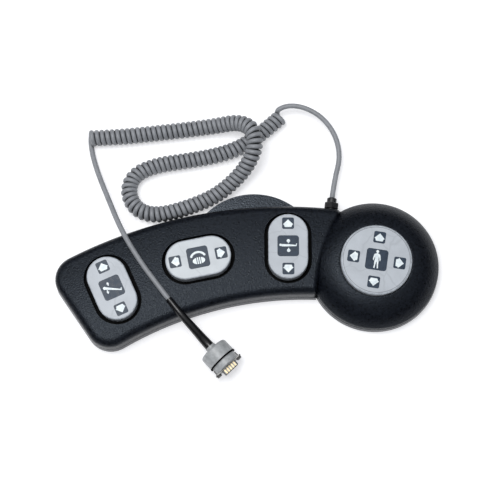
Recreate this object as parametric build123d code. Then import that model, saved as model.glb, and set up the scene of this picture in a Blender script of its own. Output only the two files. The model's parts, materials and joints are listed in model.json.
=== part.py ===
"""Hand controller of a motorised patient table: a crescent arm with three rocker pads, a round
pod with a four-way pad, and a curly cord that ends in a round plug.

Millimetres, +Z up.  The origin lies on the surface that the controller rests on, under the
middle of its body.  +X runs along the arm towards the round pod, +Y towards the cord gland.
"""
from build123d import *
import math
import os

# ---- driving dimensions: plan of the casing -------------------------------------------------
REAR_CENTRE = (37.5, -382.9)        # centre of the long convex rear edge
REAR_RADIUS = 447.0
FRONT_CENTRE = (55.5, -367.0)       # centre of the long concave front edge
FRONT_RADIUS = 340.2
LEFT_SIDE_POINT = (-165.3, -45.5)   # a point on the slanted left end
LEFT_SIDE_ANGLE = -55.0
LEFT_CORNER_RADIUS = 24.0
CREASE = ((67.5, -60.0), (73.0, 10.5), (99.0, 68.0))    # where the arm runs out over the pod
POD_CENTRE = (122.9, 4.8)
POD_RADIUS = 63.4
LUG_CENTRE = (6.9, 12.4)            # the rounded rear lug
LUG_RADIUS = 65.45
CROWN_CENTRE = (33.0, -361.8)       # the arm's crowned top is turned about this centre

# ---- driving dimensions: heights and walls ----------------------------------------------------
CASE_BOTTOM = 1.5
PARTING = 8.0
GASKET = 0.6
UPPER_BOTTOM = PARTING + GASKET
LIP = 0.8                           # how far the lower case's foot stands out of the upper case
LOWER_DRAFT = 6.0                   # the walls lean inwards by these angles
UPPER_DRAFT = 3.0
WALL = 2.5
FLOOR = 2.5
CROWN_FRONT = (318.0, 24.2)         # radius from the crown's centre, height
CROWN_TOP = (361.0, 26.5)
CROWN_REAR = (434.0, 20.2)
TOP_ROUNDING = 8.0
CREASE_ROUNDING = 4.0
DOME_FOOT = (POD_RADIUS - LIP - 0.2, 13.0)
DOME_MIDDLE = (51.2, 25.0)
DOME_TOP = (36.0, 31.3)
DOME_ROUNDING = 4.0                 # between the pod's wall and its dome

# ---- driving dimensions: pads -----------------------------------------------------------------
PAD_STATIONS = ((-127.7, -21.4, 114.5), (-46.4, 8.1, 11.5), (39.4, 19.4, 90.0))
OVERLAY_LENGTH = 60.4
OVERLAY_WIDTH = 35.4
OVERLAY_THICKNESS = 0.4
PAD_BORDER = 1.3                    # pad body outside its overlay
PAD_GAP = 3.8                       # between the pad and the case
PAD_BOTTOM = 20.2
PAD_TOP = 32.0
PAD_ROUNDING = 1.2
WELL_WALL = 1.5
WELL_FLOOR_BOTTOM = 11.0
WELL_FLOOR_TOP = 12.5
WELL_TOP = 16.8
SEAL_THICKNESS = 0.8
BOARD_THICKNESS = 1.2
SWITCH_HEIGHT = 2.5
SWITCH_REACH = 22.0                 # from the rocker's pivot to each switch
PLUNGER_BOTTOM = 17.6
PIVOT_HEIGHT = 16.5
PIN_RADIUS = 1.5
PIN_CLEARANCE = 0.05
ARROW_WINDOW = 11.4
SYMBOL_WINDOW = 20.6
ARROW_REACH = 22.3
ARROW_ROUNDING = 1.6
SYMBOL_ROUNDING = 2.8
WINDOW_THICKNESS = 0.3

# ---- driving dimensions: round four-way pad ---------------------------------------------------
ROUND_TURN = -9.0                   # the printed face is turned a little on the pod
ROUND_FACE_RADIUS = 31.8
ROUND_PAD_RADIUS = 33.9
ROUND_OPENING = 34.8
ROUND_PAD_BOTTOM = 25.0
ROUND_PAD_TOP = 36.6
ROUND_ROUNDING = 2.0
ROUND_WELL_FLOOR = 15.0
ROUND_WELL_TOP = 20.8
ROUND_SWITCH_REACH = 25.0
ROUND_PLUNGER_BOTTOM = 21.8
BALL_HEIGHT = 22.0
BALL_RADIUS = 4.0

# ---- driving dimensions: cord, gland and plug -------------------------------------------------
CORD_RADIUS = 2.55
COIL_RADIUS = 8.3
GLAND_POINT = (82.2, 61.2, 11.0)
GLAND_ANGLE = 84.0
GLAND_LENGTH = 11.5
PLUG_REAR = (-35.0, -74.8, 14.8)
PLUG_ANGLE = -46.8
BOOT_POINTS = ((-73.9, -31.8, 32.6), (-71.4, -34.9, 32.6), (-60.2, -48.6, 30.6),
               (-48.9, -60.2, 22.8), (-40.4, -69.0, 14.8))
BOOT_RADII = (3.1, 3.15, 3.6, 4.1, 4.5, 4.7)

# Routes of the free cord, from the gland to the coil, along the coil, and on to the boot.
LEAD_A = ((83.4, 72.64, 11.0), (86.3, 92.5, 11.0), (92.2, 114.0, 13.5), (88.0, 137.0, 14.5),
          (75.0, 155.8, 14.5), (57.8, 166.2, 14.5), (42.0, 168.8, 13.5), (30.5, 161.5, 11.5))
COIL = ((33.9, 158.5, 8.4), (14.9, 141.0, 8.4), (-6.0, 125.8, 8.4), (-31.0, 117.0, 8.4),
        (-61.0, 111.8, 8.4), (-91.0, 107.3, 8.4), (-112.5, 97.0, 8.4), (-117.6, 78.0, 8.4),
        (-107.5, 60.5, 8.4), (-87.5, 55.6, 8.4), (-58.0, 63.6, 8.4), (-29.5, 76.0, 9.0),
        (-8.0, 94.0, 13.5), (3.5, 108.5, 21.5), (8.6, 122.6, 26.5), (6.4, 139.0, 26.5),
        (-8.0, 149.8, 18.0), (-31.0, 148.4, 9.0), (-61.0, 144.4, 8.4), (-95.0, 140.4, 8.4),
        (-127.0, 136.8, 8.4), (-156.3, 135.6, 8.4))
LEAD_B = ((-154.6, 137.5, 4.6), (-154.3, 121.0, 4.0), (-147.7, 100.0, 7.0), (-136.6, 73.5, 13.5),
          (-121.5, 37.5, 29.5), (-104.0, 8.0, 32.6), (-84.5, -18.6, 32.6), (-73.9, -31.8, 32.6))


# ---- small helpers ----------------------------------------------------------------------------
def at(station):
    """Placement of a pad station: local X along the pad's long side."""
    x, y, angle = station
    return Pos(x, y, 0) * Rot(0, 0, angle)


def slab(sketch, low, high):
    """A prism of a sketch between two heights."""
    return Pos(0, 0, low) * extrude(sketch, amount=high - low)


def rod(radius, low, high):
    """An upright cylinder between two heights."""
    return Pos(0, 0, (low + high) / 2) * Cylinder(radius, high - low)


def tube(outer, inner, low, high):
    """An upright pipe between two heights."""
    return rod(outer, low, high) - rod(inner, low - 1, high + 1)


def polar(centre, radius, angle):
    """A point at a distance and direction from a centre."""
    turn = math.radians(angle)
    return (centre[0] + radius * math.cos(turn), centre[1] + radius * math.sin(turn))


def along(point, angle):
    """A frame whose local Z runs level, in a direction of the plan."""
    turn = math.radians(angle)
    heading = (math.cos(turn), math.sin(turn), 0)
    return Plane(origin=point, x_dir=(0, 0, 1), z_dir=heading).location


def screw(radius, head_radius, head_height, length):
    """A pan-head screw with its tip up: the head lies under Z = 0."""
    head = rod(head_radius, -head_height, 0)
    head = fillet(head.edges().group_by(Axis.Z)[0], head_height * 0.35)
    socket = slab(RegularPolygon(head_radius * 0.5, 6), -head_height, -head_height * 0.45)
    return head + rod(radius, 0, length) - socket


# ---- the casing -------------------------------------------------------------------------------
CASE_SCREWS = [(-167.2, -12.0), (-142.2, -57.0)]
CASE_SCREWS += [polar(CROWN_CENTRE, 345, 108.7), polar(CROWN_CENTRE, 412, 108.7)]
CASE_SCREWS += [polar(CROWN_CENTRE, 348, 95.7), polar(CROWN_CENTRE, 412, 95.7)]
CASE_SCREWS += [(77.5, -20.0), (69.0, 46.0)]
CASE_SCREWS += [polar(POD_CENTRE, 50.5, angle) for angle in (-60, 0, 60)]
FEET = [(-163.0, -30.0), polar(CROWN_CENTRE, 400, 114.5), polar(CROWN_CENTRE, 343, 100.0)]
FEET += [(8.0, 62.0), (140.0, -38.0), (140.0, 50.0)]
RAIL_HOLES = [(LUG_CENTRE[0] - 15.0, 66.0), (LUG_CENTRE[0] + 15.0, 66.0)]
RAIL_HOLE_DEPTH = 5.0
CASE_BOSS = 4.0
SCREW_RADIUS = 1.5
CASE_SCREW_TIP = 14.6


def arm_outline(inset):
    """The crescent arm, rounded at its left end, cut off along the crease over the pod."""
    ring = Pos(*REAR_CENTRE) * Circle(REAR_RADIUS - inset)
    ring -= Pos(*FRONT_CENTRE) * Circle(FRONT_RADIUS + inset)
    turn = math.radians(LEFT_SIDE_ANGLE)
    side = Vector(math.cos(turn), math.sin(turn))
    inward = Vector(-side.Y, side.X)
    middle = Vector(*LEFT_SIDE_POINT) + inward * inset
    far_top = middle - side * 150
    far_bottom = middle + side * 100
    right = 200
    edges = [Line(far_top, far_bottom), Line(far_bottom, (CREASE[0][0], -right)),
             Line((CREASE[0][0], -right), CREASE[0]), ThreePointArc(*CREASE),
             Line(CREASE[2], (CREASE[2][0], right)), Line((CREASE[2][0], right), far_top)]
    arm = ring & make_face(edges)
    corners = arm.vertices().sort_by(Axis.X)[:2]
    return fillet(corners, LEFT_CORNER_RADIUS - inset)


def case_outline(inset):
    """The arm and the round pod in one."""
    pod = Pos(*POD_CENTRE) * Circle(POD_RADIUS - inset)
    bridge = Pos(90, 5) * Rectangle(40, 50)
    return arm_outline(inset) + pod + bridge


def lug_outline():
    """The rounded rear lug, which reaches under the arm."""
    lug = Pos(*LUG_CENTRE) * Circle(LUG_RADIUS)
    return lug & Pos(LUG_CENTRE[0], 60) * Rectangle(140, 80)


def crown(drop):
    """A solid of revolution whose top is the arm's crowned surface, lowered by a drop."""
    front = (CROWN_FRONT[0], CROWN_FRONT[1] - drop)
    top = (CROWN_TOP[0], CROWN_TOP[1] - drop)
    rear = (CROWN_REAR[0], CROWN_REAR[1] - drop)
    points = [front, top, rear]
    arc = ThreePointArc(*[(r, 0, z) for r, z in points])
    down = Line((rear[0], 0, rear[1]), (rear[0], 0, 0))
    base = Line((rear[0], 0, 0), (front[0], 0, 0))
    up = Line((front[0], 0, 0), (front[0], 0, front[1]))
    ring = revolve(make_face([arc, down, base, up]), Axis.Z, 100)
    return Pos(CROWN_CENTRE[0], CROWN_CENTRE[1], 0) * Rot(0, 0, 50) * ring


def dome(inset, low):
    """The pod's dome, from its foot to the edge of the round opening."""
    foot = (DOME_FOOT[0] - inset, DOME_FOOT[1] - inset * 0.4)
    middle = (DOME_MIDDLE[0] - inset * 0.75, DOME_MIDDLE[1] - inset * 0.75)
    top = (DOME_TOP[0] - inset * 0.3, DOME_TOP[1] - inset)
    arc = ThreePointArc(*[(r, 0, z) for r, z in (foot, middle, top)])
    lines = Polyline([(top[0], 0, top[1]), (0, 0, top[1]), (0, 0, low), (foot[0], 0, low),
                      (foot[0], 0, foot[1])])
    body = revolve(make_face([arc, lines]), Axis.Z)
    rim = body.edges().filter_by(lambda edge: abs(edge.bounding_box().max.Z - foot[1]) < 0.01)
    return Pos(*POD_CENTRE) * fillet(rim, DOME_ROUNDING - inset)


def gland_bore():
    """The round way for the gland through the rear wall, across the parting line."""
    return along(GLAND_POINT, GLAND_ANGLE) * rod(4.05, -14, 4)


def make_lower_case():
    tall = PARTING - CASE_BOTTOM
    body = Pos(0, 0, CASE_BOTTOM) * extrude(case_outline(0), amount=tall, taper=LOWER_DRAFT)
    body += slab(lug_outline(), CASE_BOTTOM, PARTING)
    body -= slab(case_outline(LIP + WALL), CASE_BOTTOM + FLOOR, PARTING + 1)
    boss_face = Circle(CASE_BOSS)
    for x, y in CASE_SCREWS:
        body += Pos(x, y) * slab(boss_face, CASE_BOTTOM + FLOOR, PARTING)
    for x, y in BOARD_POSTS:
        body += Pos(x, y) * slab(Circle(3.0), CASE_BOTTOM + FLOOR, BOARD_BOTTOM)
    for x, y in CASE_SCREWS:
        body -= Pos(x, y) * rod(1.7, 0, PARTING + 1)
        body -= Pos(x, y) * rod(3.1, 0, CASE_BOTTOM + 3.0)
    for x, y in BOARD_POSTS:
        body -= Pos(x, y) * rod(1.25, CASE_BOTTOM + 1.0, BOARD_BOTTOM + 1)
    for x, y in RAIL_HOLES:
        body -= Pos(x, y) * rod(3.0, 0, CASE_BOTTOM + RAIL_HOLE_DEPTH)
    for x, y in FEET:
        body -= Pos(x, y) * rod(5.1, 0, CASE_BOTTOM + 1.0)
    return body - gland_bore()


def arm_block(inset, low):
    """The arm with leaning walls and a rounded, crowned top, at a depth under its skin."""
    arm = Pos(0, 0, low) * extrude(arm_outline(LIP + inset), amount=25, taper=UPPER_DRAFT)
    arm = arm & crown(inset)
    rim = arm.edges().filter_by(lambda edge: edge.bounding_box().min.Z > low + 4)
    crease = rim.sort_by(Axis.X)[-1]
    arm = fillet([edge for edge in rim if not edge.is_same(crease)], TOP_ROUNDING - inset)
    rim = arm.edges().filter_by(lambda edge: edge.bounding_box().min.Z > low + 10)
    return fillet(rim.sort_by(Axis.X)[-1], CREASE_ROUNDING - inset)


def envelope(inset, low):
    """The space inside the upper case's skin, at a depth under the surface."""
    return arm_block(inset, low) + dome(inset, low)


def upper_case_features():
    """What hangs from the inside of the upper case's skin: bosses, and collars over the wells."""
    top = 40.0
    features = [Pos(x, y) * slab(Circle(CASE_BOSS), PARTING, top) for x, y in CASE_SCREWS]
    collar = slab(SlotOverall(WELL_LENGTH, WELL_WIDTH), WELL_TOP + SEAL_THICKNESS, top)
    for station in PAD_STATIONS:
        features.append(at(station) * collar)
        for side in (-1, 1):
            features.append(at(station) * Pos(0, side * WELL_EAR) * rod(3.4, WELL_TOP, top))
    collar_low = ROUND_WELL_TOP + SEAL_THICKNESS
    features.append(Pos(*POD_CENTRE) * rod(ROUND_OPENING + WELL_WALL, collar_low, top))
    for point in ROUND_EAR_POINTS:
        features.append(Pos(*point) * rod(3.2, ROUND_WELL_TOP, top))
    return features


def make_upper_case():
    body = envelope(0, UPPER_BOTTOM) - envelope(WALL, UPPER_BOTTOM - 1)
    limit = envelope(1.0, PARTING)
    for feature in upper_case_features():
        body += feature & limit
    for station in PAD_STATIONS:
        body -= at(station) * slab(SlotOverall(OPENING_LENGTH, OPENING_WIDTH), 9, 45)
        for side in (-1, 1):
            body -= at(station) * Pos(0, side * WELL_EAR) * rod(1.25, WELL_TOP - 1, 20.5)
    body -= Pos(*POD_CENTRE) * rod(ROUND_OPENING, 9, 45)
    for point in ROUND_EAR_POINTS:
        body -= Pos(*point) * rod(1.25, ROUND_WELL_TOP - 1, 23.5)
    for point in CASE_SCREWS:
        body -= Pos(*point) * rod(SCREW_RADIUS, PARTING - 1, CASE_SCREW_TIP + 0.3)
    return body - gland_bore()


def make_gasket():
    """The seal on the parting line, kept clear of the bosses and of the gland."""
    ring = slab(case_outline(LIP + 0.4), PARTING, UPPER_BOTTOM)
    ring -= slab(case_outline(LIP + WALL - 0.3), PARTING - 1, UPPER_BOTTOM + 1)
    for point in CASE_SCREWS:
        ring -= Pos(*point) * rod(CASE_BOSS + 0.1, PARTING - 1, UPPER_BOTTOM + 1)
    return [piece for piece in (ring - gland_bore()).solids() if piece.volume > 5]


def make_case_screws():
    seat = CASE_BOTTOM + 3.0
    fastener = screw(SCREW_RADIUS - 0.02, 2.75, 2.4, CASE_SCREW_TIP - seat)
    return [Pos(x, y, seat) * fastener for x, y in CASE_SCREWS]


def make_feet():
    foot = rod(5.0, 0, CASE_BOTTOM + 1.0)
    foot = fillet(foot.edges().group_by(Axis.Z)[0], 0.6)
    return [Pos(x, y) * foot for x, y in FEET]


def make_rail_inserts():
    insert = tube(3.0, 1.65, CASE_BOTTOM, CASE_BOTTOM + RAIL_HOLE_DEPTH)
    return [Pos(x, y) * insert for x, y in RAIL_HOLES]


# ---- the three rocker pads ----------------------------------------------------------------------
PAD_LENGTH = OVERLAY_LENGTH + 2 * PAD_BORDER
PAD_WIDTH = OVERLAY_WIDTH + 2 * PAD_BORDER
OPENING_LENGTH = PAD_LENGTH + 2 * PAD_GAP
OPENING_WIDTH = PAD_WIDTH + 2 * PAD_GAP
WELL_LENGTH = OPENING_LENGTH + 2 * WELL_WALL
WELL_WIDTH = OPENING_WIDTH + 2 * WELL_WALL
WELL_EAR = WELL_WIDTH / 2 + 2.6
HUB_WIDTH = 16.0
LUG_GAP = 9.5


def make_well():
    """The tub under a pad, with two ears for its screws and two lugs for the pivot pin."""
    well = slab(SlotOverall(WELL_LENGTH, WELL_WIDTH), WELL_FLOOR_BOTTOM, WELL_TOP)
    well -= slab(SlotOverall(OPENING_LENGTH, OPENING_WIDTH), WELL_FLOOR_TOP, WELL_TOP + 1)
    for side in (-1, 1):
        well += Pos(0, side * WELL_EAR) * rod(3.4, WELL_FLOOR_BOTTOM, WELL_TOP)
        well -= Pos(0, side * WELL_EAR) * rod(1.35, WELL_FLOOR_BOTTOM - 1, WELL_TOP + 1)
        lug = Pos(0, side * (LUG_GAP + 2), 15.6) * Box(8, 4, 6.4)
        well += lug
    well -= Pos(0, 0, PIVOT_HEIGHT) * Rot(90, 0, 0) * Cylinder(PIN_RADIUS, 2 * LUG_GAP + 8.2)
    return well - Pos(-14, 0, 11.5) * Box(4, 15, 4)


def make_switch_board():
    board = slab(SlotOverall(62, 37), WELL_FLOOR_TOP, WELL_FLOOR_TOP + BOARD_THICKNESS)
    return board - Pos(0, 0, 13) * Box(12, 29, 4)


def make_switches(reach, low, directions):
    """Snap-dome switches: a square body and a round plunger cap for each direction."""
    pieces = []
    for angle in directions:
        x, y = polar((0, 0), reach, angle)
        body = Box(6.2, 6.2, SWITCH_HEIGHT - 0.9)
        body = chamfer(body.edges().filter_by(Axis.Z), 0.5)
        cap = Pos(0, 0, SWITCH_HEIGHT / 2) * Cylinder(1.7, 0.9)
        middle = low + (SWITCH_HEIGHT - 0.9) / 2
        pieces.append(Pos(x, y, middle) * Rot(0, 0, angle) * (body + cap))
    return pieces


def make_rocker():
    """A pad body: a thick stadium, a hub that runs on the pivot pin, and two plungers."""
    pad = slab(SlotOverall(PAD_LENGTH, PAD_WIDTH), PAD_BOTTOM, PAD_TOP)
    pad = fillet(pad.edges().group_by(Axis.Z)[-1], PAD_ROUNDING)
    pad -= slab(SlotOverall(OVERLAY_LENGTH, OVERLAY_WIDTH), PAD_TOP - OVERLAY_THICKNESS, PAD_TOP + 1)
    pad -= slab(SlotOverall(PAD_LENGTH - 6, PAD_WIDTH - 6), PAD_BOTTOM - 1, PAD_TOP - 6)
    pad += Pos(0, 0, 20.2) * Box(12, HUB_WIDTH, 12.4)
    for side in (-1, 1):
        pad += Pos(side * SWITCH_REACH, 0) * rod(2.5, PLUNGER_BOTTOM, PAD_TOP - 5.5)
    bore = Cylinder(PIN_RADIUS + PIN_CLEARANCE, HUB_WIDTH + 2)
    return pad - Pos(0, 0, PIVOT_HEIGHT) * Rot(90, 0, 0) * bore


def window(number, clearance):
    """The outline of a pad's window: number 0 is the symbol's, the others are the arrows'."""
    size = SYMBOL_WINDOW if number == 0 else ARROW_WINDOW
    rounding = SYMBOL_ROUNDING if number == 0 else ARROW_ROUNDING
    return RectangleRounded(size - clearance, size - clearance, rounding)


def window_places(count, reach):
    """The centre window's place, then the arrow windows' places, evenly turned about it."""
    places = [(0, 0)]
    for step in range(count):
        places.append(polar((0, 0), reach, 360 / count * step))
    return places


def make_overlay(face, low, count, reach):
    """The printed face sheet, with a pocket for each window."""
    sheet = slab(face, low, low + OVERLAY_THICKNESS)
    for number, (x, y) in enumerate(window_places(count, reach)):
        pocket = slab(window(number, 0), low + OVERLAY_THICKNESS - WINDOW_THICKNESS, low + 1)
        sheet -= Pos(x, y) * pocket
    return sheet


def make_windows(low, count, reach):
    """Tinted windows that lie in the overlay's pockets: the symbol, then the arrows."""
    pieces = []
    for number, (x, y) in enumerate(window_places(count, reach)):
        pane = slab(window(number, 0.04), low + OVERLAY_THICKNESS - WINDOW_THICKNESS,
                    low + OVERLAY_THICKNESS)
        pieces.append(Pos(x, y) * pane)
    return pieces


def make_well_screws():
    """The screws that hold the wells up against the collars of the upper case."""
    spots = [at(station) * Pos(0, side * WELL_EAR, WELL_FLOOR_BOTTOM)
             for station in PAD_STATIONS for side in (-1, 1)]
    spots += [Pos(x, y, ROUND_WELL_FLOOR) for x, y in ROUND_EAR_POINTS]
    return [spot * screw(1.23, 2.2, 1.5, 8.4) for spot in spots]


def make_seal():
    ring = slab(SlotOverall(WELL_LENGTH, WELL_WIDTH), WELL_TOP, WELL_TOP + SEAL_THICKNESS)
    for side in (-1, 1):
        ring -= Pos(0, side * WELL_EAR) * rod(3.5, WELL_TOP - 1, WELL_TOP + 2)
    return ring - slab(SlotOverall(58, 33), WELL_TOP - 1, WELL_TOP + 2)


def rocker_pad_nodes(number, station):
    """All pieces of one rocker pad, named after its place on the arm."""
    name = f"pad_{number}"
    face = SlotOverall(OVERLAY_LENGTH - 0.04, OVERLAY_WIDTH - 0.04)
    low = PAD_TOP - OVERLAY_THICKNESS
    pin = Pos(0, 0, PIVOT_HEIGHT) * Rot(90, 0, 0) * Cylinder(PIN_RADIUS, 2 * LUG_GAP + 8)
    switches = make_switches(SWITCH_REACH, WELL_FLOOR_TOP + BOARD_THICKNESS, (0, 180))
    pieces = {
        f"{name}_well": make_well(),
        f"{name}_switch_board": make_switch_board(),
        f"{name}_switches": switches,
        f"{name}_pivot_pin": pin,
        f"{name}_rocker": make_rocker(),
        f"{name}_overlay": make_overlay(face, low, 2, ARROW_REACH),
        f"{name}_windows": make_windows(low, 2, ARROW_REACH),
        f"{name}_seal": make_seal(),
    }
    return {node: place(at(station), shape) for node, shape in pieces.items()}


# ---- the round four-way pad ---------------------------------------------------------------------
ROUND_EARS = (45, 165, 285)
ROUND_EAR = ROUND_OPENING + WELL_WALL + 2.2
ROUND_EAR_POINTS = [polar(POD_CENTRE, ROUND_EAR, angle + ROUND_TURN) for angle in ROUND_EARS]
ROUND_ARROW_REACH = 22.0
DIRECTIONS = (0, 90, 180, 270)


def make_round_well():
    outer = ROUND_OPENING + WELL_WALL
    well = rod(outer, ROUND_WELL_FLOOR, ROUND_WELL_TOP)
    well -= rod(ROUND_OPENING, ROUND_WELL_FLOOR + 1.5, ROUND_WELL_TOP + 1)
    well += rod(6.5, ROUND_WELL_FLOOR, BALL_HEIGHT - 1.2)
    for angle in ROUND_EARS:
        x, y = polar((0, 0), ROUND_EAR, angle)
        well += Pos(x, y) * rod(3.2, ROUND_WELL_FLOOR, ROUND_WELL_TOP)
        well -= Pos(x, y) * rod(1.35, ROUND_WELL_FLOOR - 1, ROUND_WELL_TOP + 1)
    well -= Pos(0, 0, BALL_HEIGHT) * Sphere(BALL_RADIUS + PIN_CLEARANCE)
    return well - Pos(-14, 0, ROUND_WELL_FLOOR) * Box(4, 13, 6)


def make_round_board():
    low = ROUND_WELL_FLOOR + 1.5
    return rod(32, low, low + BOARD_THICKNESS) - rod(8, low - 1, low + 3)


def make_round_pad():
    pad = rod(ROUND_PAD_RADIUS, ROUND_PAD_BOTTOM, ROUND_PAD_TOP)
    pad = fillet(pad.edges().group_by(Axis.Z)[-1], ROUND_ROUNDING)
    pad -= rod(ROUND_FACE_RADIUS, ROUND_PAD_TOP - OVERLAY_THICKNESS, ROUND_PAD_TOP + 1)
    pad -= rod(ROUND_PAD_RADIUS - 3, ROUND_PAD_BOTTOM - 1, ROUND_PAD_TOP - 6)
    pad += rod(7.5, BALL_HEIGHT + 1.2, ROUND_PAD_TOP - 5)
    for angle in DIRECTIONS:
        x, y = polar((0, 0), ROUND_SWITCH_REACH, angle)
        pad += Pos(x, y) * rod(2.5, ROUND_PLUNGER_BOTTOM, ROUND_PAD_TOP - 5)
    return pad - Pos(0, 0, BALL_HEIGHT) * Sphere(BALL_RADIUS + PIN_CLEARANCE)


def make_round_seal():
    low = ROUND_WELL_TOP
    ring = tube(ROUND_OPENING + WELL_WALL, 30, low, low + SEAL_THICKNESS)
    for angle in ROUND_EARS:
        x, y = polar((0, 0), ROUND_EAR, angle)
        ring -= Pos(x, y) * rod(3.3, low - 1, low + 2)
    return ring


def round_pad_nodes():
    low = ROUND_PAD_TOP - OVERLAY_THICKNESS
    face = Circle(ROUND_FACE_RADIUS - 0.02)
    board_top = ROUND_WELL_FLOOR + 1.5 + BOARD_THICKNESS
    pieces = {
        "round_pad_well": make_round_well(),
        "round_pad_switch_board": make_round_board(),
        "round_pad_switches": make_switches(ROUND_SWITCH_REACH, board_top, DIRECTIONS),
        "round_pad_pivot_ball": Pos(0, 0, BALL_HEIGHT) * Sphere(BALL_RADIUS),
        "round_pad_body": make_round_pad(),
        "round_pad_overlay": make_overlay(face, low, 4, ROUND_ARROW_REACH),
        "round_pad_windows": make_windows(low, 4, ROUND_ARROW_REACH),
        "round_pad_seal": make_round_seal(),
    }
    where = Pos(*POD_CENTRE) * Rot(0, 0, ROUND_TURN)
    return {node: place(where, shape) for node, shape in pieces.items()}


# ---- electronics --------------------------------------------------------------------------------
BOARD_BOTTOM = 6.0
BOARD_TOP = 7.6
BOARD_POSTS = [polar(CROWN_CENTRE, radius, angle) for angle in (118.5, 95.7, 86.5)
               for radius in (370, 392)]


def make_main_board():
    """A curved board along the arm, under the wells."""
    sector = Pos(*CROWN_CENTRE) * (Circle(398) - Circle(364))
    reach = 600
    first = polar(CROWN_CENTRE, reach, 83.6)
    last = polar(CROWN_CENTRE, reach, 119.6)
    middle = polar(CROWN_CENTRE, reach * 1.2, 101)
    wedge = make_face(Polyline([CROWN_CENTRE, first, middle, last, CROWN_CENTRE]))
    board = slab(sector & wedge, BOARD_BOTTOM, BOARD_TOP)
    for x, y in BOARD_POSTS:
        board -= Pos(x, y) * rod(1.35, 0, 20)
    return board


def make_board_screws():
    pieces = []
    for x, y in BOARD_POSTS:
        pan = Rot(180, 0, 0) * screw(1.2, 2.2, 1.4, 4.5)
        pieces.append(Pos(x, y, BOARD_TOP) * pan)
    return pieces


def make_board_connectors():
    """Pin headers that join the main board to the switch board in each well."""
    header = Pos(-14, 0, (BOARD_TOP + WELL_FLOOR_TOP) / 2) * Box(3, 13, WELL_FLOOR_TOP - BOARD_TOP)
    return [at(station) * header for station in PAD_STATIONS]


def make_pod_cable():
    """The flat cable from the main board to the round pad's switch board."""
    left = 62.0
    x, y = polar(POD_CENTRE, 14.0, 180 + ROUND_TURN)
    run = Pos((left + x) / 2, y, 9.4) * Box(x - left, 11, 1.0)
    plug = Pos(left + 3, y, (BOARD_TOP + 9.9) / 2) * Box(6, 12, 9.9 - BOARD_TOP)
    riser_top = ROUND_WELL_FLOOR + 1.5
    riser = Pos(x, y, (8.9 + riser_top) / 2) * Rot(0, 0, ROUND_TURN) * Box(2.4, 11, riser_top - 8.9)
    return run + plug + riser


# ---- cord gland ---------------------------------------------------------------------------------
def gland_nodes():
    """Pieces of the cord gland, along its axis from the inside of the case outwards."""
    hex_flange = slab(RegularPolygon(6.5, 6, major_radius=False), 0.6, 6.2)
    hex_flange = chamfer(hex_flange.edges().group_by(Axis.Z)[-1], 0.5)
    body = hex_flange + rod(4.0, -9.0, 0.6) - rod(CORD_RADIUS + 0.05, -10, 7)
    cap = rod(4.75, 6.2, GLAND_LENGTH)
    cap = fillet(cap.edges().group_by(Axis.Z)[-1], 1.2)
    cap -= rod(3.6, 6.0, 9.0)
    cap -= rod(CORD_RADIUS + 0.05, 6, 13)
    nut = slab(RegularPolygon(5.6, 6, major_radius=False), -8.3, -5.3) - rod(4.0, -9, -4)
    pieces = {
        "gland_body": body,
        "gland_cap": cap,
        "gland_grommet": tube(3.6, CORD_RADIUS, 6.2, 9.0),
        "gland_nut": nut,
        "cord_tail": rod(CORD_RADIUS, -16.0, GLAND_LENGTH),
        "cord_clamp": tube(4.2, CORD_RADIUS, -15.0, -11.0),
    }
    where = along(GLAND_POINT, GLAND_ANGLE)
    return {node: place(where, shape) for node, shape in pieces.items()}


# ---- plug ---------------------------------------------------------------------------------------
def d_outline(width, height):
    """The D shape of the connector, its long side along local Y."""
    half = height / 2
    slope = half * math.tan(math.radians(10))
    corners = [(-half, width / 2 - slope), (half, width / 2 + slope - 1.0),
               (half, -width / 2 - slope + 1.0), (-half, -width / 2 + slope)]
    face = make_face(Polyline(corners + corners[:1]))
    return fillet(face.vertices(), 1.6)


def make_pins():
    pieces = []
    for row, count, shift in ((1.42, 5, 0), (-1.42, 4, 0)):
        for number in range(count):
            across = (number - (count - 1) / 2) * 2.77 + shift
            pin = Pos(row, across) * rod(0.5, 22.5, 29.6)
            pieces.append(fillet(pin.edges().group_by(Axis.Z)[-1], 0.3))
    return pieces


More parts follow.
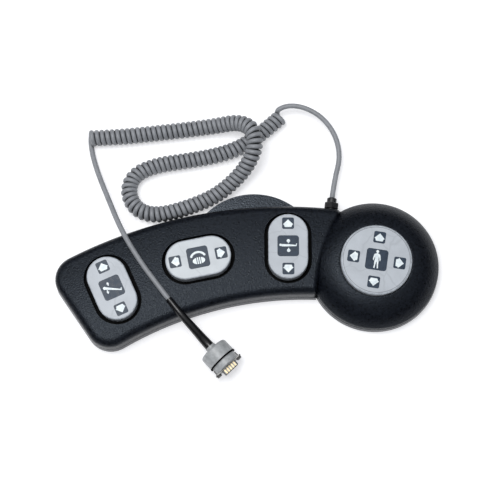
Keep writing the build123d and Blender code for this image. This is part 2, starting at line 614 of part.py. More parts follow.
def plug_nodes():
    """The round plug, along its axis from the boot to the pins."""
    collar = rod(5.2, 0, 3.4)
    shell = rod(14.5, 3.4, 17.0)
    shell = fillet(shell.edges().group_by(Axis.Z)[0], 2.6)
    shell -= rod(12.6, 6.0, 18.0)
    shell = shell + collar - rod(2.7, -1, 7)
    ring = rod(13.1, 18.4, 25.0)
    ring = fillet(ring.edges().group_by(Axis.Z)[-1], 0.8)
    ring += rod(12.5, 15.0, 18.4)
    ring -= slab(d_outline(19.4, 11.0), 14.0, 26.0)
    flange = slab(Rectangle(12.5, 30.8), 25.0, 26.0)
    flange = fillet(flange.edges().filter_by(Axis.Z), 2.2)
    d_shell = flange + slab(d_outline(17.0, 8.4), 26.0, 30.4) + slab(d_outline(19.2, 10.8), 22, 25)
    d_shell -= slab(d_outline(16.0, 7.4), 21.0, 31.0)
    insulator = slab(d_outline(15.9, 7.3), 21.0, 26.0)
    for pin in make_pins():
        insulator -= pin
    jacks = []
    for side in (-1, 1):
        spot = Pos(0, side * 12.5)
        d_shell -= spot * rod(1.6, 20, 28)
        ring -= spot * rod(1.6, 19, 27)
        head = slab(RegularPolygon(2.4, 6, major_radius=False), 26.0, 28.0)
        head = chamfer(head.edges().group_by(Axis.Z)[-1], 0.4)
        jack = spot * (head + rod(1.55, 20, 26) - rod(1.1, 26.5, 29))
        jacks.append(jack)
    pieces = {
        "plug_shell": shell,
        "plug_o_ring": tube(14.8, 12.5, 17.0, 18.4),
        "plug_front_ring": ring,
        "plug_d_shell": d_shell,
        "plug_insulator": insulator,
        "plug_pins": make_pins(),
        "plug_jackscrews": jacks,
    }
    where = along(PLUG_REAR, PLUG_ANGLE)
    return {node: place(where, shape) for node, shape in pieces.items()}


# ---- free cord ----------------------------------------------------------------------------------
def cord_path(name, points):
    """Straight runs joined by tangent arcs, each as large as its two runs allow."""
    points = [Vector(*point) for point in points]
    radii = []
    for before, corner, after in zip(points, points[1:], points[2:]):
        turn = math.radians((corner - before).get_angle(after - corner))
        shorter = min((corner - before).length, (after - corner).length)
        radii.append(0.45 * shorter / math.tan(turn / 2))
    print(name, "radii", [round(radius) for radius in radii])
    return FilletPolyline(*points, radius=radii)


def cord_solid(name, points, radius):
    """A round tube along the route, with its volume compared to section times length."""
    path = cord_path(name, points)
    start = Plane(origin=path @ 0, z_dir=path % 0)
    solid = sweep(start * Circle(radius), path=path)
    expected = math.pi * radius ** 2 * path.length
    print(name, "length", round(path.length, 1), "volume ratio", round(solid.volume / expected, 4))
    return solid


def make_boot():
    """The tapered boot from the cord over the arm's front edge to the plug."""
    spine = [Vector(*point) for point in BOOT_POINTS + (PLUG_REAR,)]
    boot = None
    for first, second, low, high in zip(spine, spine[1:], BOOT_RADII, BOOT_RADII[1:]):
        step = second - first
        frame = Plane(origin=first, z_dir=step)
        cone = frame.location * Pos(0, 0, step.length / 2) * Cone(low, high, step.length)
        boot = cone if boot is None else boot + Pos(first) * Sphere(low) + cone
    return boot


# ---- writing ------------------------------------------------------------------------------------
def place(where, shape):
    if isinstance(shape, list):
        return [where * piece for piece in shape]
    return where * shape


def write(node, shape):
    pieces = shape if isinstance(shape, list) else shape.solids()
    solid = pieces[0] if len(pieces) == 1 else Compound(children=list(pieces))
    solid.label = node
    export_step(solid, f"parts/{node}.step")


def main():
    os.makedirs("parts", exist_ok=True)
    nodes = {
        "lower_case": make_lower_case(),
        "upper_case": make_upper_case(),
        "case_gasket": make_gasket(),
        "case_screws": make_case_screws(),
        "rubber_feet": make_feet(),
        "rail_inserts": make_rail_inserts(),
        "main_board": make_main_board(),
        "board_screws": make_board_screws(),
        "board_connectors": make_board_connectors(),
        "well_screws": make_well_screws(),
        "pod_cable": make_pod_cable(),
    }
    for number, station in enumerate(PAD_STATIONS, 1):
        nodes.update(rocker_pad_nodes(number, station))
    nodes.update(round_pad_nodes())
    nodes.update(gland_nodes())
    nodes.update(plug_nodes())
    nodes["plug_boot"] = make_boot()
    nodes["cord_lead_a"] = cord_solid("cord_lead_a", LEAD_A, CORD_RADIUS)
    nodes["cord_coil"] = cord_solid("cord_coil", COIL, COIL_RADIUS)
    nodes["cord_lead_b"] = cord_solid("cord_lead_b", LEAD_B, CORD_RADIUS)
    for node, shape in nodes.items():
        write(node, shape)


main()
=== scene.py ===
"""Looks of the hand controller: materials, printed pads, curly cord, boot and plug, in metres."""
import json
import math

import bmesh
import bpy
from mathutils import Matrix, Vector


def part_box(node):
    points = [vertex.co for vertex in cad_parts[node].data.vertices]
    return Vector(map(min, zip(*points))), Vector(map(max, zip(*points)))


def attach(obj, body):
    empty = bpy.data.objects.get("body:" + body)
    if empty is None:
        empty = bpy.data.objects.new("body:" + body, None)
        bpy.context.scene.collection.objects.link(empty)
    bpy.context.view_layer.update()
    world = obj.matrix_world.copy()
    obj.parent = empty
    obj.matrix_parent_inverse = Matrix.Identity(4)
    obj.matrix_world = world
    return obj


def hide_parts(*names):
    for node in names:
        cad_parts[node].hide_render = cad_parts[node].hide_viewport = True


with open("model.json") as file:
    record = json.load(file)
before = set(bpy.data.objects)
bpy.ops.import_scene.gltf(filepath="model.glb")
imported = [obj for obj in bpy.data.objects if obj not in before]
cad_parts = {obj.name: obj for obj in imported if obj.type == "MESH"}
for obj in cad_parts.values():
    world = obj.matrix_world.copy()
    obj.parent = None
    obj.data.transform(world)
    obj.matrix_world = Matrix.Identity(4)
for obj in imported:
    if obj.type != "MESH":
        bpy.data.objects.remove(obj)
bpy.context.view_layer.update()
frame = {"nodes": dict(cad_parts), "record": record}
NODES = frame["nodes"]
SLOT_OF = {part["node"]: part["material_slot"] for part in frame["record"]["subparts"]}
MM = 0.001


# ---- camera, floor and light --------------------------------------------------------------------
TARGET = Vector((2.95, 23.2, 0.0)) * MM
CAMERA_DISTANCE = 1176 * MM
CAMERA_ELEVATION = math.radians(76.0)
SENSOR = 36.0
LENS = SENSOR * 2.4
NEAREST, FARTHEST = 0.05, 50.0      # the camera's clipping, in metres
SKY_COLOUR = (0.95, 0.97, 1.0)
SKY_RISE = (0.33, 1.0)              # heights of a direction between which the sky brightens
SKY_STRENGTH = (0.07, 0.84)
FLOOR_HALF = 6.0                    # in metres
FLOOR_DROP = 0.0002                 # keeps the floor just under the rubber feet, in metres
FLOOR_COLOUR = (0.70, 0.70, 0.71)
FLOOR_ROUGHNESS = 0.8
FLOOR_GLOW_COLOUR = (0.98, 0.98, 1.0)
FLOOR_GLOW = 0.46
LIGHTS = (                          # name, place and size in metres, and watts
    ("key", (-0.30, 0.10, 1.75), (0.9, 0.6), 15),
    ("side", (-1.3, 0.3, 1.5), (0.5, 0.5), 5),
)


def make_camera():
    camera = bpy.data.objects.new("camera", bpy.data.cameras.new("camera"))
    bpy.context.scene.collection.objects.link(camera)
    back = Vector((0, -math.cos(CAMERA_ELEVATION), math.sin(CAMERA_ELEVATION)))
    camera.location = TARGET + back * CAMERA_DISTANCE
    camera.rotation_mode = "QUATERNION"
    camera.rotation_quaternion = (-back).to_track_quat("-Z", "Y")
    camera.data.sensor_width = SENSOR
    camera.data.lens = LENS
    camera.data.clip_start = NEAREST
    camera.data.clip_end = FARTHEST
    bpy.context.scene.camera = camera


def make_light(name, place, size, power):
    """A soft white rectangle that faces the controller."""
    light = bpy.data.lights.new(name, "AREA")
    light.shape = "RECTANGLE"
    light.size, light.size_y = size
    light.energy = power
    holder = bpy.data.objects.new(name, light)
    bpy.context.scene.collection.objects.link(holder)
    holder.location = place
    holder.rotation_mode = "QUATERNION"
    holder.rotation_quaternion = (TARGET - Vector(place)).to_track_quat("-Z", "Y")


def make_sky():
    """A room that is dim at the horizon and bright overhead."""
    world = bpy.data.worlds.new("studio")
    world.use_nodes = True
    nodes, links = world.node_tree.nodes, world.node_tree.links
    background = nodes["Background"]
    background.inputs["Color"].default_value = (*SKY_COLOUR, 1)
    direction = nodes.new("ShaderNodeTexCoord")
    parts = nodes.new("ShaderNodeSeparateXYZ")
    ramp = nodes.new("ShaderNodeMapRange")
    ramp.interpolation_type = "SMOOTHSTEP"
    ramp.inputs["From Min"].default_value, ramp.inputs["From Max"].default_value = SKY_RISE
    ramp.inputs["To Min"].default_value, ramp.inputs["To Max"].default_value = SKY_STRENGTH
    links.new(direction.outputs["Generated"], parts.inputs["Vector"])
    links.new(parts.outputs["Z"], ramp.inputs["Value"])
    links.new(ramp.outputs["Result"], background.inputs["Strength"])
    bpy.context.scene.world = world


def make_stage():
    """The pale floor, the sky and the lights."""
    mesh = bpy.data.meshes.new("floor")
    signs = ((-1, -1), (1, -1), (1, 1), (-1, 1))
    mesh.from_pydata([(x * FLOOR_HALF, y * FLOOR_HALF, 0) for x, y in signs], [], [(0, 1, 2, 3)])
    floor = bpy.data.objects.new("floor", mesh)
    bpy.context.scene.collection.objects.link(floor)
    floor.location.z = -FLOOR_DROP
    material = new_material("floor", FLOOR_COLOUR, FLOOR_ROUGHNESS)
    shader = material.node_tree.nodes["Principled BSDF"]
    shader.inputs["Emission Color"].default_value = (*FLOOR_GLOW_COLOUR, 1)
    shader.inputs["Emission Strength"].default_value = FLOOR_GLOW
    mesh.materials.append(material)
    make_sky()
    for name, place, size, power in LIGHTS:
        make_light(name, place, size, power)


# ---- materials: sizes and depths are in mm, unless they say otherwise ---------------------------
GRAIN_TINT = (0.76, 0.87, 1.0)      # the bluish gloss of the black case
GRAIN_DEPTH = 0.36
PATCH_SIZE = 1.7                    # the waviness under the grain, in grain cells
CREASE_SPACING = 45.0
CREASE_WANDER = (0.016, 0.016, 0.0)     # how far the creases stray, in metres
WANDER_WAVES = 55.0                 # how often they stray, in waves per metre
CREASE_WIDTH = 0.018                # as a part of the spacing
# Painted shade on the cord: its colour is darkened where an occlusion node finds the coil's turns close.
PAINTED_SHADE_REACH = 5.0
PAINTED_SHADE_RANGE = (0.28, 0.85)         # openness between a coil's turns and on their outside
PAINTED_SHADE_SAMPLES = 6
PAINTED_SHADE_DARKNESS = 0.1


def new_material(name, colour, roughness, metallic=0.0, specular=0.5):
    material = bpy.data.materials.new(name)
    material.use_nodes = True
    shader = material.node_tree.nodes["Principled BSDF"]
    shader.inputs["Base Color"].default_value = (*colour, 1)
    shader.inputs["Roughness"].default_value = roughness
    shader.inputs["Metallic"].default_value = metallic
    shader.inputs["Specular IOR Level"].default_value = specular
    return material


def place_node(material):
    """The shared texture coordinate of a material, in metres."""
    nodes = material.node_tree.nodes
    node = nodes.get("place") or nodes.new("ShaderNodeTexCoord")
    node.name = "place"
    return node.outputs["Object"]


def noise(material, size, detail=3.0, rough=0.55):
    """Cloudy noise with features of about this size."""
    nodes, links = material.node_tree.nodes, material.node_tree.links
    scaled = nodes.new("ShaderNodeMapping")
    scaled.inputs["Scale"].default_value = [1 / (size * MM)] * 3
    texture = nodes.new("ShaderNodeTexNoise")
    texture.inputs["Scale"].default_value = 1.0
    texture.inputs["Detail"].default_value = detail
    texture.inputs["Roughness"].default_value = rough
    links.new(place_node(material), scaled.inputs["Vector"])
    links.new(scaled.outputs["Vector"], texture.inputs["Vector"])
    return texture.outputs["Fac"]


def cells(material, size, feature="F1"):
    """Pebble-like cells of about this size."""
    nodes, links = material.node_tree.nodes, material.node_tree.links
    texture = nodes.new("ShaderNodeTexVoronoi")
    texture.feature = feature
    texture.inputs["Scale"].default_value = 1 / (size * MM)
    links.new(place_node(material), texture.inputs["Vector"])
    return texture.outputs["Distance"]


def spread(material, source, low, high, from_low=0.3, from_high=0.7):
    """A value mapped from one range to another."""
    node = material.node_tree.nodes.new("ShaderNodeMapRange")
    node.inputs["From Min"].default_value = from_low
    node.inputs["From Max"].default_value = from_high
    node.inputs["To Min"].default_value = low
    node.inputs["To Max"].default_value = high
    material.node_tree.links.new(source, node.inputs["Value"])
    return node.outputs["Result"]


def tint(material, source, stops):
    """Base colour that follows a texture through a colour ramp."""
    nodes, links = material.node_tree.nodes, material.node_tree.links
    ramp = nodes.new("ShaderNodeValToRGB")
    elements = ramp.color_ramp.elements
    while len(elements) < len(stops):
        elements.new(0.5)
    for element, (position, colour) in zip(elements, stops):
        element.position = position
        element.color = (*colour, 1)
    links.new(source, ramp.inputs["Fac"])
    links.new(ramp.outputs["Color"], nodes["Principled BSDF"].inputs["Base Color"])
    return ramp


def blended(material, first, second, factor):
    """Two heights mixed into one."""
    node = material.node_tree.nodes.new("ShaderNodeMix")
    node.data_type = "FLOAT"
    node.inputs["Factor"].default_value = factor
    material.node_tree.links.new(first, node.inputs["A"])
    material.node_tree.links.new(second, node.inputs["B"])
    return node.outputs["Result"]


def mixed_colour(material, dark, ramp, factor):
    """Base colour that goes from a plain dark colour to a ramp's as the factor rises."""
    nodes, links = material.node_tree.nodes, material.node_tree.links
    mix = nodes.new("ShaderNodeMix")
    mix.data_type = "RGBA"
    mix.inputs["A"].default_value = (*dark, 1)
    links.new(factor, mix.inputs["Factor"])
    links.new(ramp.outputs["Color"], mix.inputs["B"])
    links.new(mix.outputs["Result"], nodes["Principled BSDF"].inputs["Base Color"])


def roughen(material, source, low, high):
    """Roughness that follows a texture."""
    result = spread(material, source, low, high)
    shader = material.node_tree.nodes["Principled BSDF"]
    material.node_tree.links.new(result, shader.inputs["Roughness"])


def bump(material, height, strength, depth):
    """Small relief that follows a texture."""
    nodes, links = material.node_tree.nodes, material.node_tree.links
    node = nodes.new("ShaderNodeBump")
    node.inputs["Strength"].default_value = strength
    node.inputs["Distance"].default_value = depth * MM
    links.new(height, node.inputs["Height"])
    links.new(node.outputs["Normal"], nodes["Principled BSDF"].inputs["Normal"])


def shade(colour, factor):
    """A colour made darker or lighter."""
    return tuple(min(1.0, channel * factor) for channel in colour)


def grained_plastic(name, colour, roughness, cell, strength, specular):
    """Moulded plastic with a fine leather grain: shallow pebbles over a slight waviness."""
    material = new_material(name, colour, roughness, specular=specular)
    shader = material.node_tree.nodes["Principled BSDF"]
    shader.inputs["Specular Tint"].default_value = (*GRAIN_TINT, 1)
    pebbles = cells(material, cell)
    patches = noise(material, cell * PATCH_SIZE, detail=4.0, rough=0.75)
    height = blended(material, pebbles, patches, 0.5)
    bump(material, height, strength, GRAIN_DEPTH)
    roughen(material, patches, roughness - 0.07, roughness + 0.12)
    tint(material, patches, [(0.35, shade(colour, 0.35)), (0.68, shade(colour, 2.6))])
    return material


def film(name, colour):
    """The silver printed film: a metallic-looking fleck, soft mottling and a few old creases, with
    painted shade along them.
    """
    material = new_material(name, colour, 0.42)
    nodes, links = material.node_tree.nodes, material.node_tree.links
    fleck = noise(material, 0.5, detail=2.0)
    clouds = noise(material, 16.0, detail=3.0)
    ramp = tint(material, blended(material, fleck, clouds, 0.6),
                [(0.3, shade(colour, 0.86)), (0.72, shade(colour, 1.1))])
    bent = nodes.new("ShaderNodeVectorMath")
    bent.operation = "MULTIPLY_ADD"
    wander = nodes.new("ShaderNodeTexNoise")
    wander.inputs["Scale"].default_value = WANDER_WAVES
    links.new(place_node(material), wander.inputs["Vector"])
    links.new(wander.outputs["Color"], bent.inputs[0])
    bent.inputs[1].default_value = CREASE_WANDER
    links.new(place_node(material), bent.inputs[2])
    creases = nodes.new("ShaderNodeTexVoronoi")
    creases.feature = "DISTANCE_TO_EDGE"
    creases.inputs["Scale"].default_value = 1 / (CREASE_SPACING * MM)
    links.new(bent.outputs["Vector"], creases.inputs["Vector"])
    line = spread(material, creases.outputs["Distance"], 0.0, 1.0, 0.0, CREASE_WIDTH)
    # The creases are real bumps, and their lines are also darkened in colour: painted shade in the
    # folds.
    mixed_colour(material, shade(colour, 0.86), ramp, line)
    bump(material, line, 0.2, 0.1)
    return material


def smooth_plastic(name, colour, roughness, specular=0.5):
    """Moulded plastic or rubber with a barely uneven surface."""
    material = new_material(name, colour, roughness, specular=specular)
    waves = noise(material, 3.5, detail=4.0)
    tint(material, waves, [(0.3, shade(colour, 0.8)), (0.7, shade(colour, 1.2))])
    roughen(material, waves, roughness - 0.06, roughness + 0.08)
    bump(material, noise(material, 0.45, detail=2.0), 0.3, 0.03)
    return material


def metal(name, colour, roughness):
    """Plated metal with a finely mottled surface."""
    material = new_material(name, colour, roughness, metallic=1.0)
    mottle = noise(material, 0.5, detail=4.0)
    tint(material, mottle, [(0.3, shade(colour, 0.82)), (0.7, shade(colour, 1.08))])
    roughen(material, mottle, roughness - 0.08, roughness + 0.12)
    bump(material, mottle, 0.25, 0.02)
    return material


def cord_rubber(name, colour):
    """The cord's jacket: satin and a little dusty, with painted shade between the coil's turns."""
    material = new_material(name, colour, 0.40)
    dust = noise(material, 6.0, detail=5.0, rough=0.65)
    ramp = tint(material, dust, [(0.3, shade(colour, 0.84)), (0.7, shade(colour, 1.14))])
    # painted shade: an occlusion node darkens the base colour between the coil's turns
    painted_shade = material.node_tree.nodes.new("ShaderNodeAmbientOcclusion")
    painted_shade.samples = PAINTED_SHADE_SAMPLES
    painted_shade.inputs["Distance"].default_value = PAINTED_SHADE_REACH * MM
    painted_shade_openness = spread(material, painted_shade.outputs["AO"], 0.0, 1.0, *PAINTED_SHADE_RANGE)
    mixed_colour(material, shade(colour, PAINTED_SHADE_DARKNESS), ramp, painted_shade_openness)
    roughen(material, dust, 0.38, 0.56)
    bump(material, noise(material, 0.7, detail=3.0), 0.3, 0.05)
    return material


def board_green(name, colour):
    """Solder mask over copper tracks."""
    material = new_material(name, colour, 0.35)
    tracks = cells(material, 3.2, "DISTANCE_TO_EDGE")
    tint(material, tracks, [(0.10, shade(colour, 1.9)), (0.16, colour)])
    bump(material, spread(material, tracks, 0.0, 1.0, 0.08, 0.14), 0.4, 0.05)
    return material


def make_materials():
    """One material for each material slot of the record, and three more: ink for the prints, painted
    shade for the round pad's film edge, and a lighter copy of the film that paints glare on one pad.
    """
    return {
        "case_base": grained_plastic("case_base", (0.0035, 0.0042, 0.0065), roughness=0.22, cell=1.5,
                                     strength=0.45, specular=0.36),
        "case_top": grained_plastic("case_top", (0.0032, 0.0040, 0.0062), roughness=0.30, cell=1.45,
                                    strength=1.0, specular=0.21),
        "overlay_film": film("overlay_film", (0.47, 0.505, 0.55)),
        # a lighter copy of the overlay film: painted glare on pad 2
        "glare_lit_overlay_film": film("glare_lit_overlay_film", (0.57, 0.61, 0.645)),
        # Painted shade: a dark ring along the round pad's overlay edge, where the film's step is shaded.
        "film_edge_shade": smooth_plastic("film_edge_shade", (0.16, 0.17, 0.185), 0.5),
        "arrow_print": smooth_plastic("arrow_print", (0.78, 0.88, 0.95), 0.35),
        "pad_body": smooth_plastic("pad_body", (0.43, 0.465, 0.51), 0.4),
        "window_film": smooth_plastic("window_film", (0.027, 0.043, 0.068), 0.3, specular=0.2),
        "inner_plastic": smooth_plastic("inner_plastic", (0.0022, 0.0022, 0.0026), 0.5, specular=0.06),
        "rubber": smooth_plastic("rubber", (0.0022, 0.0022, 0.0026), 0.6, specular=0.06),
        "switch_plastic": smooth_plastic("switch_plastic", (0.03, 0.03, 0.032), 0.4),
        "circuit_board": board_green("circuit_board", (0.012, 0.11, 0.04)),
        "steel": metal("steel", (0.26, 0.26, 0.255), 0.5),
        "brass": metal("brass", (0.72, 0.52, 0.22), 0.3),
        "gland_nylon": smooth_plastic("gland_nylon", (0.010, 0.010, 0.012), 0.34),
        "cord_jacket": cord_rubber("cord_jacket", (0.255, 0.266, 0.286)),
        "ribbon": smooth_plastic("ribbon", (0.5, 0.5, 0.5), 0.5),
        "boot_rubber": smooth_plastic("boot_rubber", (0.0022, 0.0024, 0.0035), 0.26, specular=0.42),
        "plug_metal": smooth_plastic("plug_metal", (0.36, 0.375, 0.385), 0.36),
        "contact_gold": metal("contact_gold", (0.46, 0.38, 0.24), 0.4),
    }


# ---- building pieces: outlines are in mm --------------------------------------------------------
LEAST_HALF_HEIGHT = 0.05            # keeps a slice open at an ellipse's tip


def finish_piece(piece, material, body):
    """Put a new piece in the scene with its material and the body it rides on."""
    if piece.name not in bpy.context.scene.collection.objects:
        bpy.context.scene.collection.objects.link(piece)
    piece.data.materials.append(material)
    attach(piece, body)
    return piece


def circle(x, y, radius, count=28):
    return [(x + radius * math.cos(math.tau * step / count),
             y + radius * math.sin(math.tau * step / count)) for step in range(count)]


def taper(start, end, first, last, count=9):
    """A bar with round ends of two radii."""
    heading = math.atan2(end[1] - start[1], end[0] - start[0])
    points = []
    # Each end is half a turn of points, which starts a quarter turn to one side of the bar's heading.
    for (x, y), radius, turn in ((end, last, -0.5), (start, first, 0.5)):
        for step in range(count):
            angle = heading + math.pi * (turn + step / (count - 1))
            points.append((x + radius * math.cos(angle), y + radius * math.sin(angle)))
    return points


def band(x, y, radius, width, low, high, count=20):
    """An arc of a circle with a width."""
    angles = [math.radians(low + (high - low) * step / count) for step in range(count + 1)]
    outer = [(x + (radius + width / 2) * math.cos(a), y + (radius + width / 2) * math.sin(a))
             for a in angles]
    inner = [(x + (radius - width / 2) * math.cos(a), y + (radius - width / 2) * math.sin(a))
             for a in reversed(angles)]
    return outer + inner


def ellipse_slice(x, y, wide, tall, left, right, count=8):
    """The part of an ellipse between two upright cuts."""
    steps = [left + (right - left) * step / count for step in range(count + 1)]
    heights = [tall * math.sqrt(max(0.0, 1 - (step / wide) ** 2)) + LEAST_HALF_HEIGHT for step in steps]
    top = [(x + step, y + height) for step, height in zip(steps, heights)]
    low = [(x + step, y - height) for step, height in zip(steps, heights)]
    return list(reversed(top)) + low


def rounded(corners, radius, count=4):
    """A polygon with its corners rounded a little."""
    points = []
    for before, corner, after in zip(corners[-1:] + corners[:-1], corners, corners[1:] + corners[:1]):
        corner = Vector(corner)
        back = (Vector(before) - corner).normalized() * radius
        on = (Vector(after) - corner).normalized() * radius
        for step in range(count + 1):
            part = step / count
            points.append(tuple(corner + back * (1 - part) ** 2 + on * part ** 2))
    return points


def print_layer(name, outlines, place, low, high, material, body):
    """Thin printed shapes: each outline becomes a plate between two heights, which are in metres."""
    mesh = bpy.data.meshes.new(name)
    build = bmesh.new()
    for number, outline in enumerate(outlines):
        bottom = [build.verts.new(place @ Vector((x * MM, y * MM, low))) for x, y in outline]
        height = high + number * PRINT_STEP
        top = [build.verts.new(place @ Vector((x * MM, y * MM, height))) for x, y in outline]
        build.faces.new(list(reversed(bottom)))
        build.faces.new(top)
        for corner in range(len(outline)):
            other = (corner + 1) % len(outline)
            build.faces.new((bottom[corner], bottom[other], top[other], top[corner]))
    bmesh.ops.recalc_face_normals(build, faces=build.faces)
    build.to_mesh(mesh)
    build.free()
    return finish_piece(bpy.data.objects.new(name, mesh), material, body)


# ---- printed pads -------------------------------------------------------------------------------
PAD_STATIONS = ((-127.7, -21.4, 114.5), (-46.4, 8.1, 11.5), (39.4, 19.4, 90.0))    # x, y and turn
SYMBOL_TURNS = (-90.0, 0.0, -90.0)
ROUND_PAD_STATION = (122.9, 4.8, -9.0)
ARROW_REACH = 22.3
ROUND_ARROW_REACH = 22.0
PRINT_THICKNESS = 0.05 * MM
PRINT_STEP = 0.008 * MM             # each outline of a layer stands this much higher than the one before
HOUSE = [(-3.8, -3.2), (-1.2, -4.1), (-1.4, -5.2), (3.8, 0.0), (-1.4, 5.2), (-1.2, 4.1), (-3.8, 3.2)]
HOUSE_ROUNDING = 0.5
PERSON_ROUNDING = 0.25


def station_place(x, y, angle):
    """The place of something drawn round its own middle, turned about the vertical."""
    return Matrix.Translation((x * MM, y * MM, 0)) @ Matrix.Rotation(math.radians(angle), 4, "Z")


def turned(outline, angle, x=0.0, y=0.0):
    """An outline turned by an angle and then moved."""
    cosine, sine = math.cos(math.radians(angle)), math.sin(math.radians(angle))
    return [(x + a * cosine - b * sine, y + a * sine + b * cosine) for a, b in outline]


def house_arrows(reach, angles):
    """The rounded arrow that points outwards, once at each angle."""
    arrow = [(x + reach, y) for x, y in rounded(HOUSE, HOUSE_ROUNDING)]
    return [turned(arrow, angle) for angle in angles]


def small_arrow(x, y, angle):
    """A little arrow of a pictogram."""
    half = [(-1.9, -0.6), (-0.1, -0.6), (-0.1, -1.5)]
    other_half = [(a, -b) for a, b in reversed(half)]
    return turned(half + [(1.7, 0.0)] + other_half, angle, x, y)


def tilt_symbol():
    """A lying patient on a table that tilts, with an arrow over and under the head end."""
    toe = taper((7.4, -5.4), (8.1, -3.7), 0.5, 0.4)
    return [taper((-6.4, 2.0), (7.6, -5.4), 1.25, 0.5), toe, circle(-6.5, 2.1, 1.5),
            small_arrow(-2.1, 5.0, 90), small_arrow(-5.0, -2.6, -90)]


def roll_symbol():
    """A patient seen from the feet, under an arc that shows the table rolling sideways."""
    cuts = ((-5.9, -2.3), (-1.6, -0.4), (0.4, 1.6), (2.3, 5.9))
    lobes = [ellipse_slice(0.2, -3.3, 6.0, 3.3, left, right) for left, right in cuts]
    return lobes + [band(0.0, -2.6, 7.7, 2.0, 34, 146), circle(6.3, 1.6, 1.1), circle(-6.3, 1.6, 1.1)]


def height_symbol():
    """A lying patient with a round mark above and below."""
    return [circle(-7.3, 0.9, 1.15), taper((-5.4, 0.5), (1.5, 0.45), 1.15, 1.0),
            taper((1.5, 0.45), (7.6, 0.2), 0.95, 0.55), taper((7.6, 0.2), (7.9, 1.9), 0.5, 0.4),
            circle(0.2, 4.9, 1.65), circle(0.4, -4.5, 1.65), taper((0.2, 2.6), (0.2, 4.0), 0.3, 0.5),
            taper((0.4, -2.2), (0.4, -3.6), 0.3, 0.5)]


def person_symbol():
    """A standing person, seen from the front."""
    half = [(0.65, 6.6), (0.85, 5.9), (2.5, 5.3), (3.0, 4.2), (3.7, 0.4), (3.4, -1.2), (2.8, -1.0),
            (2.3, 1.2), (1.75, 3.0), (1.6, 1.0), (2.0, -1.4), (1.9, -5.0), (2.3, -8.3), (1.0, -8.5),
            (0.75, -5.2), (0.25, -2.2)]
    other_half = [(-x, y) for x, y in reversed(half)]
    return [rounded(half + other_half, PERSON_ROUNDING), circle(0, 7.9, 1.35)]


def print_pad(pad, station, arrows, symbol, ink):
    """A pad's arrows and its pictogram, printed on its windows."""
    place = station_place(*station)
    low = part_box(f"{pad}_windows")[1][2]
    high = low + PRINT_THICKNESS
    print_layer(f"{pad}_arrows", arrows, place, low, high, ink, pad)
    print_layer(f"{pad}_symbol", symbol, place, low, high, ink, pad)


def make_prints(materials):
    """The prints of the three oval pads and the round one."""
    ink = materials["arrow_print"]
    symbols = (tilt_symbol(), roll_symbol(), height_symbol())
    pads = zip(PAD_STATIONS, symbols, SYMBOL_TURNS)
    for number, (station, symbol, turn) in enumerate(pads, 1):
        drawn = [turned(outline, turn) for outline in symbol]
        print_pad(f"pad_{number}", station, house_arrows(ARROW_REACH, (0, 180)), drawn, ink)
    arrows = house_arrows(ROUND_ARROW_REACH, (0, 90, 180, 270))
    print_pad("round_pad", ROUND_PAD_STATION, arrows, person_symbol(), ink)


# ---- cord: routes are in mm ---------------------------------------------------------------------
CORD_RADIUS = 2.55
HELIX_RADIUS = 5.9
HELIX_PITCH = 5.15
HELIX_STEPS = 12                    # control points in one turn
HELIX_START = 180.0                 # turned from the left of the coil's run, over its top
HELIX_END = 275.0
HEADING_STEPS = 6                   # how many points away the run's heading is judged
LEAD_A = ((83.4, 72.64, 11.0), (86.3, 92.5, 11.0), (92.2, 114.0, 13.5), (88.0, 137.0, 14.5),
          (75.0, 155.8, 14.5), (57.8, 166.2, 14.5), (42.0, 168.8, 13.5), (31.5, 165.5, 11.8))
COIL = ((33.9, 158.5, 8.4), (14.9, 141.0, 8.4), (-6.0, 125.8, 8.4), (-31.0, 117.0, 8.4),
        (-61.0, 111.8, 8.4), (-91.0, 107.3, 8.4), (-112.5, 97.0, 8.4), (-117.6, 78.0, 8.4),
        (-107.5, 60.5, 8.4), (-87.5, 55.6, 8.4), (-58.0, 63.6, 8.4), (-29.5, 76.0, 9.0),
        (-8.0, 94.0, 13.5), (3.5, 108.5, 21.5), (8.6, 122.6, 26.5), (6.4, 139.0, 26.5),
        (-8.0, 149.8, 18.0), (-31.0, 148.4, 9.0), (-61.0, 144.4, 8.4), (-95.0, 140.4, 8.4),
        (-127.0, 136.8, 8.4), (-156.3, 135.6, 8.4))
LEAD_B = ((-154.3, 121.0, 3.4), (-147.7, 100.0, 6.0), (-136.6, 73.5, 13.0), (-121.5, 37.5, 27.5),
          (-104.0, 8.0, 28.8), (-84.5, -18.6, 29.4), (-73.9, -31.8, 29.4))
BOOT = ((-73.9, -31.8, 29.4), (-71.4, -34.9, 29.4), (-60.2, -48.6, 28.4), (-48.9, -60.2, 21.8),
        (-40.4, -69.0, 14.8), (-35.0, -74.8, 14.8))
BOOT_RADII = (3.1, 3.15, 3.6, 4.1, 4.6, 4.8)
ROUTE_RESOLUTION = 24


def nurbs_curve(name, points, radii=None):
    """An open NURBS curve with these control points, in metres."""
    data = bpy.data.curves.new(name, "CURVE")
    data.dimensions = "3D"
    spline = data.splines.new("NURBS")
    spline.points.add(len(points) - 1)
    for number, point in enumerate(points):
        spline.points[number].co = (*point, 1)
        if radii:
            spline.points[number].radius = radii[number]
    spline.order_u = 3
    spline.use_endpoint_u = True
    return bpy.data.objects.new(name, data)


def tube(name, points, radius, along, around, radii=None):
    """A round tube with closed ends along a NURBS curve, whose radii multiply its radius."""
    curve = nurbs_curve(name, points, radii)
    curve.data.resolution_u = along
    curve.data.bevel_depth = radius * MM
    curve.data.bevel_resolution = around
    curve.data.use_fill_caps = True
    return curve


def metres(points):
    return [Vector(point) * MM for point in points]


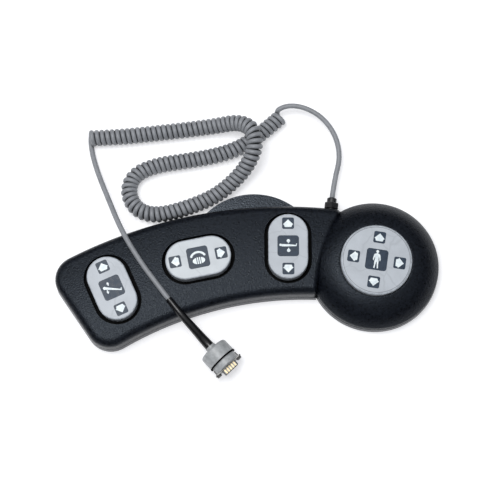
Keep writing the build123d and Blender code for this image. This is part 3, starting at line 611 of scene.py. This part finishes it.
def route_line(points):
    """Points read along the NURBS curve of a route."""
    curve = nurbs_curve("route", points)
    curve.data.resolution_u = ROUTE_RESOLUTION
    bpy.context.scene.collection.objects.link(curve)
    bpy.context.view_layer.update()
    mesh = bpy.data.meshes.new_from_object(curve.evaluated_get(bpy.context.evaluated_depsgraph_get()))
    line = [vertex.co.copy() for vertex in mesh.vertices]
    bpy.data.meshes.remove(mesh)
    bpy.data.objects.remove(curve)
    return line


def helix_points(line):
    """Control points of the curly part, wound right-handed round a line."""
    lengths = [0.0]
    for first, second in zip(line, line[1:]):
        lengths.append(lengths[-1] + (second - first).length)
    turns = round(lengths[-1] / (HELIX_PITCH * MM)) + (HELIX_END - HELIX_START) / 360
    count = round(turns * HELIX_STEPS)
    points = []
    piece = 0
    for step in range(count + 1):
        reach = lengths[-1] * step / count
        while piece < len(line) - 2 and lengths[piece + 1] < reach:
            piece += 1
        part = (reach - lengths[piece]) / (lengths[piece + 1] - lengths[piece])
        middle = line[piece].lerp(line[piece + 1], part)
        near = max(0, piece - HEADING_STEPS)
        far = min(len(line) - 1, piece + 1 + HEADING_STEPS)
        heading = (line[far] - line[near]).normalized()
        left = Vector((0, 0, 1)).cross(heading).normalized()
        over = heading.cross(left)
        angle = math.radians(HELIX_START) + math.tau * turns * step / count
        offset = left * math.cos(angle) + over * math.sin(angle)
        points.append(middle + offset * HELIX_RADIUS * MM)
    return points


def make_cord(materials, ribs):
    """The cord in one curve from the gland to the plug, and its boot."""
    points = metres(LEAD_A) + helix_points(route_line(metres(COIL))) + metres(LEAD_B)
    cord = tube("curly_cord", points, CORD_RADIUS, along=4, around=3)
    finish_piece(cord, materials["cord_jacket"], "root")
    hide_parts("cord_lead_a", "cord_coil", "cord_lead_b")
    boot = tube("tapered_boot", metres(BOOT), 1.0, along=12, around=6, radii=BOOT_RADII)
    finish_piece(boot, materials["boot_rubber"], "root")
    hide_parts("plug_boot")


# ---- small trim ---------------------------------------------------------------------------------
# The round pad's overlay edge, drawn as a dark ring of painted shade along the film's step.
FILM_EDGE_SHADE_RADIUS = 31.8
FILM_EDGE_SHADE_WIDTH = 0.42
PLUG_ANGLE = -46.8
SHELL_TOP = 19.0                    # the top of the D-shaped shell, above the resting face
SHELL_FROM, SHELL_TO = 26.6, 30.0   # the shell's stretch, along the plug from the boot's end
CONTACT_STEP = 2.77
RIB_RADIUS = 0.75
RIB_HEIGHT = 0.4
RIB_SUNK = 0.05


def make_trim(materials):
    """The overlay's edge on the round pad, drawn as a dark ring of painted shade, and the pressed ribs
    on the connector's shell.
    """
    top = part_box("round_pad_overlay")[1][2]
    middle_x, middle_y, _ = ROUND_PAD_STATION
    place = station_place(middle_x, middle_y, 0.0)
    ring = [band(0, 0, FILM_EDGE_SHADE_RADIUS, FILM_EDGE_SHADE_WIDTH, start, start + 180, 60) for start in (0, 180)]
    print_layer("round_pad_film_edge_shade", ring, place, top, top + PRINT_THICKNESS, materials["film_edge_shade"],
                "round_pad")
    rear_x, rear_y, _ = BOOT[-1]
    place = station_place(rear_x, rear_y, PLUG_ANGLE)
    rows = [row * CONTACT_STEP for row in (-2, -1, 0, 1, 2)]
    ribs = [taper((SHELL_FROM, y), (SHELL_TO, y), RIB_RADIUS, RIB_RADIUS) for y in rows]
    low = (SHELL_TOP - RIB_SUNK) * MM
    return print_layer("connector_ribs", ribs, place, low, low + RIB_HEIGHT * MM,
                       materials["contact_gold"], "root")


# ---- the whole ----------------------------------------------------------------------------------
# Pad 2's film gets a lighter copy of the overlay film, as painted glare.
PAINTED_GLARE_MATERIAL = {"pad_2_overlay": "glare_lit_overlay_film"}


def dress_nodes(materials):
    """Every CAD node gets its slot's material, or a lighter copy painted with glare."""
    for name, node in NODES.items():
        node.data.materials.clear()
        node.data.materials.append(materials[PAINTED_GLARE_MATERIAL.get(name, SLOT_OF[name])])
        for face in node.data.polygons:
            face.material_index = 0


make_camera()
make_stage()
MATERIALS = make_materials()
dress_nodes(MATERIALS)
make_prints(MATERIALS)
make_cord(MATERIALS, make_trim(MATERIALS))
bpy.context.scene.view_settings.view_transform = "Standard"
